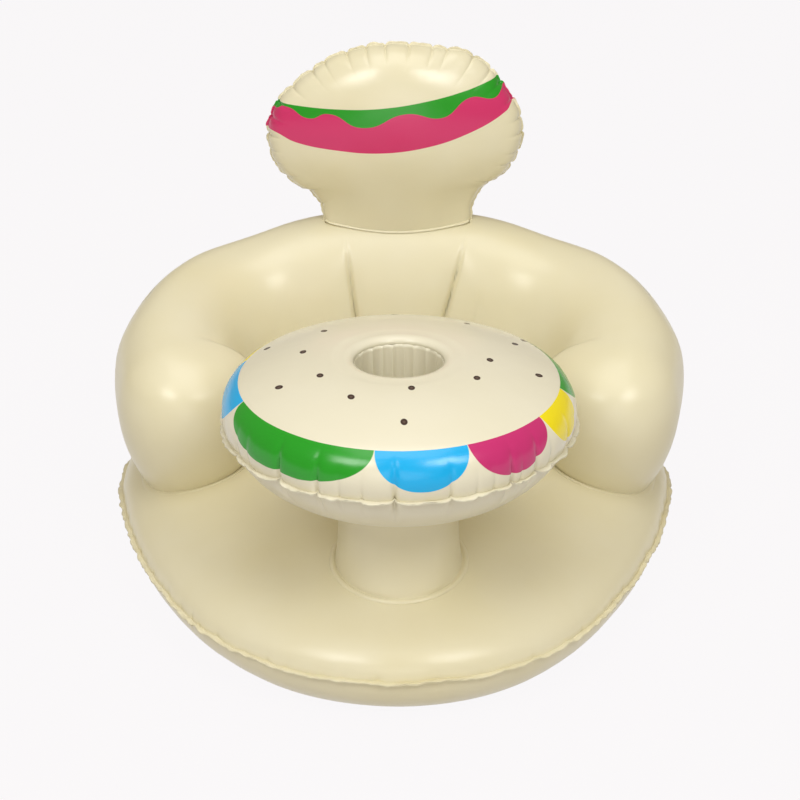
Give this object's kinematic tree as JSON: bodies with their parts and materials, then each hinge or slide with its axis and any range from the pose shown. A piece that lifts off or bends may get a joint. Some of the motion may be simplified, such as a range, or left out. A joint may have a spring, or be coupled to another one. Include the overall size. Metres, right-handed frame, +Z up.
{
  "type": "inflatable baby bath seat",
  "caption": "Air-filled bath seat for a baby: rounded base cushion, U-shaped backrest with a headrest, and a round tray with a cup pocket on a front post.",
  "frame": {"origin": "on the floor, under the middle of the base cushion's plan", "axes": "+Z up; -Y towards the front, where the tray stands on its post; +Y towards the backrest; +X to the left hand of a child in the seat"},
  "size_m": [0.642, 0.6774, 0.5259],
  "materials": {
    "base_film": "satin-gloss cream PVC film",
    "backrest_film": "satin-gloss cream PVC film",
    "headrest_front_film": "satin-gloss cream PVC film printed pink and green",
    "headrest_back_film": "satin-gloss cream PVC film",
    "tray_film": "satin-gloss off-white PVC film with a printed border",
    "post_film": "satin-gloss cream PVC film",
    "valve_plastic": "soft clear to milky PVC"
  },
  "bodies": {
    "seat": {"base_top_panel": "base_film", "base_bottom_panel": "base_film", "backrest_inner_panel": "backrest_film", "backrest_outer_panel": "backrest_film", "backrest_tie_left": "backrest_film", "backrest_tie_right": "backrest_film", "headrest_front_panel": "headrest_front_film", "headrest_back_panel": "headrest_back_film", "tray_top_panel": "tray_film", "tray_bottom_panel": "tray_film", "tray_pocket_sleeve": "tray_film", "post_wall": "post_film", "base_valve_flange": "valve_plastic", "backrest_valve_flange": "valve_plastic", "headrest_valve_flange": "valve_plastic", "tray_valve_flange": "valve_plastic"},
    "base_stem": {"base_valve_stem": "valve_plastic"},
    "base_plug": {"base_valve_plug": "valve_plastic"},
    "backrest_stem": {"backrest_valve_stem": "valve_plastic"},
    "backrest_plug": {"backrest_valve_plug": "valve_plastic"},
    "headrest_stem": {"headrest_valve_stem": "valve_plastic"},
    "headrest_plug": {"headrest_valve_plug": "valve_plastic"},
    "tray_stem": {"tray_valve_stem": "valve_plastic"},
    "tray_plug": {"tray_valve_plug": "valve_plastic"}
  },
  "joints": [
    {"name": "base_stem_slide", "type": "slide", "parent": "seat", "child": "base_stem", "axis": [0, 0.8398, -0.5428], "range_m": [0, 0.012]},
    {"name": "base_plug_pull", "type": "slide", "parent": "base_stem", "child": "base_plug", "axis": [0, 0.8398, -0.5428], "range_m": [0, 0.01]},
    {"name": "backrest_stem_slide", "type": "slide", "parent": "seat", "child": "backrest_stem", "axis": [0, 1, 0], "range_m": [0, 0.012]},
    {"name": "backrest_plug_pull", "type": "slide", "parent": "backrest_stem", "child": "backrest_plug", "axis": [0, 1, 0], "range_m": [0, 0.01]},
    {"name": "headrest_stem_slide", "type": "slide", "parent": "seat", "child": "headrest_stem", "axis": [0, 1, 0], "range_m": [0, 0.012]},
    {"name": "headrest_plug_pull", "type": "slide", "parent": "headrest_stem", "child": "headrest_plug", "axis": [0, 1, 0], "range_m": [0, 0.01]},
    {"name": "tray_stem_slide", "type": "slide", "parent": "seat", "child": "tray_stem", "axis": [0, 0, -1], "range_m": [0, 0.012]},
    {"name": "tray_plug_pull", "type": "slide", "parent": "tray_stem", "child": "tray_plug", "axis": [0, 0, -1], "range_m": [0, 0.01]}
  ]
}
